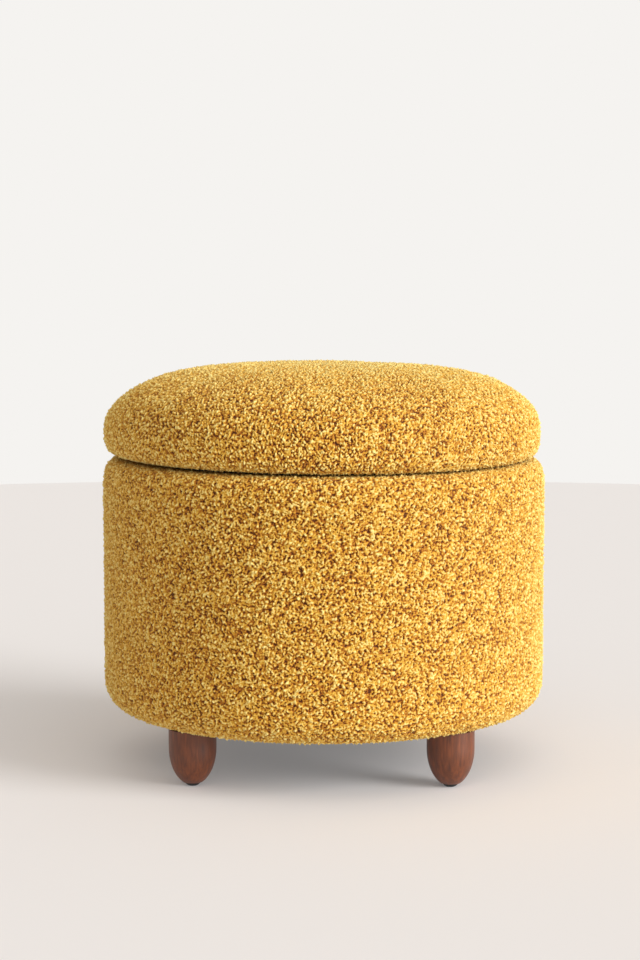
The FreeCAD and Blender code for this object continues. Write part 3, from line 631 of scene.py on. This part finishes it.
def makeTapeCloth():
    # Woven cotton binding: matt olive brown, with cords along it that catch a little light.
    # Real cords lie 1 mm apart. They're drawn twice as coarse, so that they show.
    material, tree, coords = newMaterial("oliveCordedCottonTape")
    ribs = addNode(tree, "ShaderNodeTexWave",
                   {"bands_direction": "Z", "Scale": math.pi / 10 / tape["cordGap"], "Distortion": 0.6,
                    "Detail": 2.0}, {"Vector": coords})
    colour = addRamp(tree, [(0.1, tape["dark"]), (0.85, tape["light"])], ribs.outputs["Fac"])
    bump = addNode(tree, "ShaderNodeBump", {"Strength": 0.5, "Distance": 0.0003}, {"Height": ribs.outputs["Fac"]})
    finishMaterial(tree, {"Roughness": 0.88, "Sheen Weight": 0.1, "Sheen Roughness": 0.5},
                   {"Base Color": colour, "Normal": bump.outputs["Normal"]})
    return material


def makeThread():
    # Bonded polyester sewing thread: ecru, tight and faintly shiny, with a twist every 0.4 mm.
    material, tree, coords = newMaterial("ecruBondedPolyesterThread")
    twist = addNode(tree, "ShaderNodeTexNoise", {"Scale": 2500.0, "Detail": 1.0}, {"Vector": coords})
    colour = addRamp(tree, [(0.3, "#B9A986"), (0.7, "#DCCFAF")], twist.outputs["Fac"])
    finishMaterial(tree, {"Roughness": 0.5}, {"Base Color": colour})
    return material


def addPiece(name, vertices, faces, material, body, smooth=True):
    mesh = bpy.data.meshes.new(name)
    mesh.from_pydata(vertices, [], faces)
    mesh.polygons.foreach_set("use_smooth", [smooth] * len(faces))
    mesh.materials.append(material)
    item = bpy.data.objects.new(name, mesh)
    bpy.context.scene.collection.objects.link(item)
    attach(item, body)
    return item


def makeLiningTape(material):
    # folded over the lining's top edge: a closed outline of (across, up) carried round the drum's axis
    t = tape
    outer, top, thick = liningBox[1].x, liningBox[1].z, t["thickness"]
    face = liningFace - thick
    outline = [(liningFace + t["bite"], tapeLow + t["backRise"]), (liningFace + t["bite"], tapeLow),
               (face + t["bevel"], tapeLow), (face, tapeLow + t["bevel"]), (face, top - t["bite"]),
               (liningFace - thick * 0.5, top + thick * 0.7), (liningFace + 0.001, top + thick),
               (outer - t["bevel"], top + thick * 0.7), (outer, top), (outer, tapeLow + t["backRise"])]
    vertices, faces = [], []
    rows, columns = len(outline), 360
    for n in range(columns):
        turn = 2 * math.pi * n / columns
        vertices += [(across * math.cos(turn), across * math.sin(turn), up) for across, up in outline]
        one, two = n * rows, (n + 1) % columns * rows
        faces += [(one + k, two + k, two + (k + 1) % rows, one + (k + 1) % rows) for k in range(rows)]
    addPiece("liningTape", vertices, faces, material, "drum")


seam = {
    "width": 0.011,
    "depth": 0.0009,
    "bevel": (0.0006, 0.0001),
    "bite": 0.0003,
    "endGap": 0.0005,
    "rows": 60,
}


def makeLiningSeam(material):
    # the lining's two ends lap at the back
    half, (across, down), rows = seam["width"] / 2, seam["bevel"], seam["rows"]
    sunk, crest = liningFace + seam["bite"], liningFace - seam["depth"]
    vertices = []
    for up in np.linspace(floorTop + seam["endGap"], tapeLow - seam["endGap"], rows):
        vertices += [(-half, sunk, up), (-half + across, crest + down, up), (0, crest, up),
                     (half - across, crest + down, up), (half, sunk, up)]
    faces = [(r * 5 + k, r * 5 + k + 1, r * 5 + k + 6, r * 5 + k + 5) for r in range(rows - 1) for k in range(4)]
    faces += [(r * 5 + 4, r * 5, r * 5 + 5, r * 5 + 9) for r in range(rows - 1)]
    faces += [(0, 4, 3, 2, 1), tuple(range(rows * 5 - 5, rows * 5))]
    addPiece("liningSeam", vertices, faces, material, "drum")


stitching = {
    "length": 0.0032,
    "gap": 0.0014,
    "thickness": 0.0005,
    "thinEnd": 0.35,
    "sunk": 0.0001,
    "aboveTapeEdge": 0.003,
    "besideSeam": 0.0026,
    "aboveFloor": 0.006,
    "sides": 6,
}


def makeLiningStitches(material):
    # a row round the tape and two rows down the seam, each stitch as (middle, direction, outward)
    s = stitching
    step, face = s["length"] + s["gap"], liningFace - tape["thickness"]
    count = int(2 * math.pi * face / step)
    stitches = []
    for n in range(count):
        turn = 2 * math.pi * n / count
        inward = np.array([-math.cos(turn), -math.sin(turn), 0])
        middle = -inward * (face - s["sunk"]) + upward * (tapeLow + s["aboveTapeEdge"])
        stitches.append((middle, np.array([-math.sin(turn), math.cos(turn), 0]), inward))
    forward = np.array([0.0, -1.0, 0.0])
    for side in (-s["besideSeam"], s["besideSeam"]):
        for up in np.arange(floorTop + s["aboveFloor"], tapeLow - s["aboveTapeEdge"], step):
            stitches.append((np.array([side, liningFace - seam["depth"], up]), upward, forward))
    half, thick, sides = s["length"] / 2, s["thickness"] / 2, s["sides"]
    vertices, faces = [], []
    for middle, along, out in stitches:
        across = np.cross(along, out)
        start = len(vertices)
        # four rings, thin and sunk into the cloth at both ends
        for at, size, sink in ((-1, s["thinEnd"], 0.9), (-0.6, 1, 0), (0.6, 1, 0), (1, s["thinEnd"], 0.9)):
            for k in range(sides):
                turn = 2 * math.pi / sides * k
                spoke = (math.cos(turn) * across + math.sin(turn) * out) * thick * size
                vertices.append(tuple(middle + along * half * at + spoke - out * thick * sink))
        for ring in range(start, start + 3 * sides, sides):
            faces += [(ring + k, ring + (k + 1) % sides, ring + sides + (k + 1) % sides, ring + sides + k)
                      for k in range(sides)]
        faces += [tuple(range(start + sides - 1, start - 1, -1)), tuple(range(start + 3 * sides, start + 4 * sides))]
    addPiece("liningStitches", vertices, faces, material, "drum")


dustSheet = {
    "thickness": 0.0005,
    "clearOfBoard": 0.0004,
    "sag": 0.0012,
    "sagWidth": 0.168,
    "pucker": 0.000175,
    "puckers": 36,
    "puckersFrom": 0.8,       # share of the radius
    "pressedEdge": 0.010,     # pulled up by the staples, so that their crowns show
    "edgeClear": 0.0002,
    "rings": 60,
    "columns": 288,
}


def makeDustCover(material):
    # stapled tight at its edge, puckered inside the staples and slack in the middle
    d = dustSheet
    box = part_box("dust_cover")
    radius, height = box[1].x, box[1].z
    rings, columns = d["rings"], d["columns"]
    vertices, faces = [], []
    for side in (0, 1):
        for n in range(1, rings + 1):
            r = radius * n / rings
            slack = d["sag"] * max(0, 1 - r / d["sagWidth"]) ** 1.2
            edge = max(0, (r / radius - d["puckersFrom"]) / (1 - d["puckersFrom"]))
            pressed = r > radius - d["pressedEdge"]
            for k in range(columns):
                turn = 2 * math.pi * k / columns
                wave = 0 if pressed else d["pucker"] * edge * (0.5 + 0.5 * math.cos(d["puckers"] * turn))
                clear = d["edgeClear"] if pressed else d["clearOfBoard"]
                vertices.append((r * math.cos(turn), r * math.sin(turn),
                                 height - clear - slack + wave - side * d["thickness"]))
    half = rings * columns
    for side in (0, 1):
        start = side * half
        for n in range(rings - 1):
            for k in range(columns):
                a, b = start + n * columns + k, start + n * columns + (k + 1) % columns
                quad = (a, a + columns, b + columns, b)
                faces.append(quad if side == 0 else quad[::-1])
        middle = tuple(range(start, start + columns))
        faces.append(middle if side == 0 else middle[::-1])
    last = (rings - 1) * columns
    faces += [(last + (k + 1) % columns, last + k, half + last + k, half + last + (k + 1) % columns)
              for k in range(columns)]
    cover = addPiece("dustCover", vertices, faces, material, "drum")
    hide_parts("dust_cover")


screwRecess = {"count": 6, "headRadius": 0.004, "long": 0.0022, "wide": 0.0005, "depth": 0.0009, "proud": 0.00008}


def makeScrewRecesses(material):
    # the cross recesses of the pan heads under the lid, as thin near-black blocks of painted shade
    d = screwRecess
    low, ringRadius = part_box("lid_screws")[0].z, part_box("lid_screws")[1].x - d["headRadius"]
    corners = [(d["long"], d["wide"]), (d["wide"], d["wide"]), (d["wide"], d["long"])]
    outline = []
    for _ in range(4):
        outline += corners
        corners = [(-y, x) for x, y in corners]
    count = len(outline)
    vertices, faces = [], []
    for n in range(d["count"]):
        turn = 2 * math.pi * n / d["count"]
        x0, y0 = ringRadius * math.cos(turn), ringRadius * math.sin(turn)
        start = len(vertices)
        for up in (low - d["proud"], low + d["depth"]):
            vertices += [(x0 + x, y0 + y, up) for x, y in outline]
        faces += [(start + k, start + count + k, start + count + (k + 1) % count, start + (k + 1) % count)
                  for k in range(count)]
        faces += [tuple(range(start, start + count)), tuple(range(start + 2 * count - 1, start + count - 1, -1))]
    addPiece("lidScrewRecesses", vertices, faces, material, "lid", smooth=False)


def makeDustCloth():
    # Spun-bonded polypropylene: thin black felt, pressed with bond points 1.2 mm apart.
    material, tree, coords = newMaterial("blackSpunBondedPolypropylene")
    points = addNode(tree, "ShaderNodeTexVoronoi", {"Scale": 830.0, "Randomness": 0.25}, {"Vector": coords})
    fibres = addNode(tree, "ShaderNodeTexNoise", {"Scale": 700.0, "Detail": 6.0, "Roughness": 0.75},
                     {"Vector": coords})
    tone = addNode(tree, "ShaderNodeMath", {"operation": "MULTIPLY_ADD", 1: 0.5},
                   {0: points.outputs["Distance"], 2: fibres.outputs["Fac"]})
    colour = addRamp(tree, [(0.4, "#0E0E0E"), (0.9, "#2A2928")], tone.outputs[0])
    bump = addNode(tree, "ShaderNodeBump", {"Strength": 0.5, "Distance": 0.0002}, {"Height": tone.outputs[0]})
    finishMaterial(tree, {"Roughness": 0.85}, {"Base Color": colour, "Normal": bump.outputs["Normal"]})
    return material


def makeZincSteel(name, colourLow, colourHigh, roughness):
    # Cold-formed steel with a bright zinc plate: cool grey with cloudy, slightly blotched shine.
    material, tree, coords = newMaterial(name)
    # clouds of zinc, 2 mm across
    clouds = addNode(tree, "ShaderNodeTexNoise", {"Scale": 500.0, "Detail": 3.0}, {"Vector": coords})
    colour = addRamp(tree, [(0.35, colourLow), (0.65, colourHigh)], clouds.outputs["Fac"])
    rough = addNode(tree, "ShaderNodeMapRange", {"To Min": roughness - 0.07, "To Max": roughness + 0.1},
                    {"Value": clouds.outputs["Fac"]})
    finishMaterial(tree, {"Metallic": 1.0}, {"Base Color": colour, "Roughness": rough.outputs[0]})
    return material


sides = ("rear_right", "rear_left", "front_left", "front_right")
boucleCloth = makeBoucle()
makeDrumCover(boucleCloth)
makeLidCover(boucleCloth)

paint([f"leg_{side}" for side in sides], makeWalnut())
paint([f"glide_{side}" for side in sides], makeGlidePlastic())
paint(["drum_shell", "top_ring", "base_board", "lid_board", "lid_locating_disc"],
      makeTimber("sandedBirchPlywood", timber["plyLight"], timber["plyDark"], 0.012, (0.25, 1.0, 1.0)))
paint([f"upright_{n}" for n in range(1, 9)],
      makeTimber("planedPine", timber["pineLight"], timber["pineDark"], 0.007, (1.0, 1.0, 0.12)))
liningCloth = makeLiningCloth()
paint(["wall_lining", "floor_panel", "lid_lining"], liningCloth)
makeLiningTape(makeTapeCloth())
makeLiningSeam(liningCloth)
makeLiningStitches(makeThread())
makeDustCover(makeDustCloth())
print("linings and dust cover done")
zinc = makeZincSteel("zincPlatedColdFormedSteel", "#A9ABA8", "#C6C8C4", 0.34)
paint([f"leg_nut_{side}" for side in sides] + [f"leg_bolt_{side}" for side in sides]
      + ["base_screws", "ring_screws", "lid_screws"], zinc)
paint(["hem_staples", "dust_cover_staples", "rim_staples", "lid_hem_staples"],
      makeZincSteel("galvanisedDrawnWire", "#9A9B98", "#BFC0BC", 0.42))
# near-black zinc in the screws' cross recesses: painted shade
makeScrewRecesses(makeZincSteel("zincWithPaintedShadeInScrewRecess", "#1E1E1D", "#343432", 0.6))
print("legs, boards and fixings done")

studio = {
    "wallColour": "#F5F3F0",
    "floorColour": "#D9D7D7",
    # the floor's glow is painted light, not a lamp
    "paintedFloorGlow": 0.19,        # lifts the shadows, so that they stay pale
    "floorRadius": 3.12,
    "floorSides": 256,
    "domeColour": "#F9F0E4",
    "dome": 0.56,
    # strength, width, degrees in front of the right-hand side, and degrees above the floor
    "keySoftbox": (3.0, 32.0, 26.0, 18.0),
    "frontFill": (1.1, 80.0, 62.0, 34.0),
    "cameraDistance": 2.5,
    "cameraHeight": 0.575,
    "cameraTurn": 1.0,
    "aimLeft": 0.098,
    "pitchDown": 5.84,
    "lens": 83.0,
}


def makeFloor():
    mesh = bpy.data.meshes.new("floor")
    count = studio["floorSides"]
    turn = np.arange(count) / count * 2 * math.pi
    rim = [(studio["floorRadius"] * math.cos(t), studio["floorRadius"] * math.sin(t), 0) for t in turn]
    mesh.from_pydata([(0, 0, 0)] + rim, [], [(0, n + 1, (n + 1) % count + 1) for n in range(count)])
    floor = bpy.data.objects.new("floor", mesh)
    bpy.context.scene.collection.objects.link(floor)
    # Frosted white acrylic: matt, with a faint painted glow that lifts the shadows on it.
    material, tree, _ = newMaterial("acrylicFloorWithPaintedGlow")
    finishMaterial(tree, {"Base Color": fromHex(studio["floorColour"]), "Roughness": 0.85, "Specular IOR Level": 0.15,
                          "Emission Color": fromHex(studio["floorColour"]),
                          "Emission Strength": studio["paintedFloorGlow"]}, {})
    mesh.materials.append(material)


def makeWorld():
    world = bpy.data.worlds.new("studio")
    bpy.context.scene.world = world
    world.use_nodes = True
    tree = world.node_tree
    tree.nodes.clear()
    seen = addNode(tree, "ShaderNodeBackground", {"Color": fromHex(studio["wallColour"]), "Strength": 1.0})
    fill = addNode(tree, "ShaderNodeBackground",
                   {"Color": fromHex(studio["domeColour"]), "Strength": studio["dome"]})
    path = addNode(tree, "ShaderNodeLightPath")
    mix = addNode(tree, "ShaderNodeMixShader", links={0: path.outputs["Is Camera Ray"], 1: fill.outputs[0],
                                                      2: seen.outputs[0]})
    addNode(tree, "ShaderNodeOutputWorld", links={"Surface": mix.outputs[0]})


def makeSoftbox(name):
    # a wide softbox, far enough off to light the whole floor alike
    strength, width, turn, height = studio[name]
    lamp = bpy.data.lights.new(name, "SUN")
    lamp.energy = strength
    lamp.angle = math.radians(width)
    item = bpy.data.objects.new(name, lamp)
    bpy.context.scene.collection.objects.link(item)
    item.rotation_euler = (0, math.radians(90 - height), math.radians(-turn))


def makeCamera():
    s = studio
    camera = bpy.data.cameras.new("camera")
    camera.sensor_fit = "VERTICAL"
    camera.sensor_height = 36.0
    camera.lens = s["lens"]
    item = bpy.data.objects.new("camera", camera)
    bpy.context.scene.collection.objects.link(item)
    turn = math.radians(s["cameraTurn"])
    item.location = (s["cameraDistance"] * math.sin(turn), -s["cameraDistance"] * math.cos(turn), s["cameraHeight"])
    item.rotation_euler = (math.radians(90 - s["pitchDown"]), 0, turn + math.radians(s["aimLeft"]))
    bpy.context.scene.camera = item


makeFloor()
makeWorld()
makeSoftbox("keySoftbox")
makeSoftbox("frontFill")
makeCamera()
bpy.context.scene.view_settings.view_transform = "Standard"
print("studio done")
